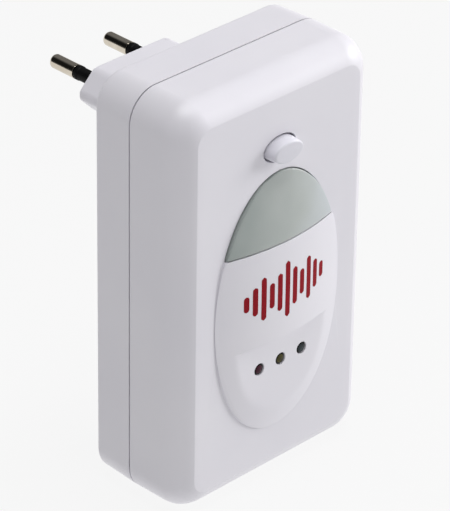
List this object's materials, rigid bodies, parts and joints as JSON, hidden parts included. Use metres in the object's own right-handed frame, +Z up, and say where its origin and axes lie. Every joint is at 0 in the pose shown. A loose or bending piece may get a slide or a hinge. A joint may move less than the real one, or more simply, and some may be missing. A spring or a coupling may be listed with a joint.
{
  "type": "ultrasonic pest repeller",
  "caption": "Plug-in ultrasonic pest repeller: a two-part moulded case with a night-light window, indicator lamps, a push button and a two-pin mains plug on its back.",
  "frame": {"origin": "middle of the plug's end face, between the two pins", "axes": "+Y out of the plug face along the pins, into the wall socket; +Z up along the case; -Y is the front of the device; +X to the right seen from the front"},
  "size_m": [0.069, 0.0779, 0.1184],
  "materials": {
    "shell_plastic": "moulded ABS, fine satin texture",
    "lens_plastic": "smoke-tinted translucent polycarbonate, polished",
    "button_plastic": "moulded ABS, satin",
    "screw_steel": "zinc-plated steel",
    "black_plastic": "moulded, satin",
    "board_laminate": "phenolic paper laminate",
    "red_led": "tinted epoxy, polished",
    "yellow_led": "tinted epoxy, polished",
    "green_led": "tinted epoxy, polished",
    "clear_led": "water-clear epoxy, polished",
    "film_case": "moulded box, satin",
    "can_sleeve": "shrink sleeve",
    "surge_coat": "dipped coating",
    "ferrite": "sintered ferrite",
    "winding_tape": "polyester tape",
    "resistor_body": "lacquered",
    "diode_glass": "glass body",
    "disc_brass": "rolled sheet",
    "disc_ceramic": "fired ceramic, silvered",
    "red_insulation": "PVC",
    "blue_insulation": "PVC",
    "pin_nickel": "nickel-plated brass"
  },
  "bodies": {
    "case": {"bleed_resistor": "resistor_body", "board_screw_1": "screw_steel", "board_screw_2": "screw_steel", "board_screw_3": "screw_steel", "board_screw_4": "screw_steel", "case_screw_1": "screw_steel", "case_screw_2": "screw_steel", "case_screw_3": "screw_steel", "case_screw_4": "screw_steel", "control_chip": "black_plastic", "film_capacitor": "film_case", "filter_capacitor": "can_sleeve", "front_cover": "shell_plastic", "fuse": "black_plastic", "indicator_led_green": "green_led", "indicator_led_red": "red_led", "indicator_led_yellow": "yellow_led", "indicator_resistor": "resistor_body", "main_board": "board_laminate", "mains_lead_blue": "blue_insulation", "mains_lead_red": "red_insulation", "night_light_led_left": "clear_led", "night_light_led_right": "clear_led", "night_light_lens": "lens_plastic", "pin_sleeve_left": "black_plastic", "pin_sleeve_right": "black_plastic", "plug_pin_left": "pin_nickel", "plug_pin_right": "pin_nickel", "power_resistor": "resistor_body", "rear_cover": "shell_plastic", "rectifier": "black_plastic", "sound_ceramic": "disc_ceramic", "sound_disc": "disc_brass", "sound_lead_blue": "blue_insulation", "sound_lead_red": "red_insulation", "surge_disc": "surge_coat", "switch_body": "black_plastic", "timing_resistor": "resistor_body", "transformer_core": "ferrite", "transformer_winding": "winding_tape", "transistor_1": "black_plastic", "transistor_2": "black_plastic", "zener_diode": "diode_glass"},
    "button": {"button_cap": "button_plastic", "switch_plunger": "black_plastic"}
  },
  "joints": [
    {"name": "button_press", "type": "slide", "parent": "case", "child": "button", "axis": [0, 1, 0], "range_m": [0, 0.0012], "stiffness_N_per_m": 900, "springref_m": -0.001}
  ]
}
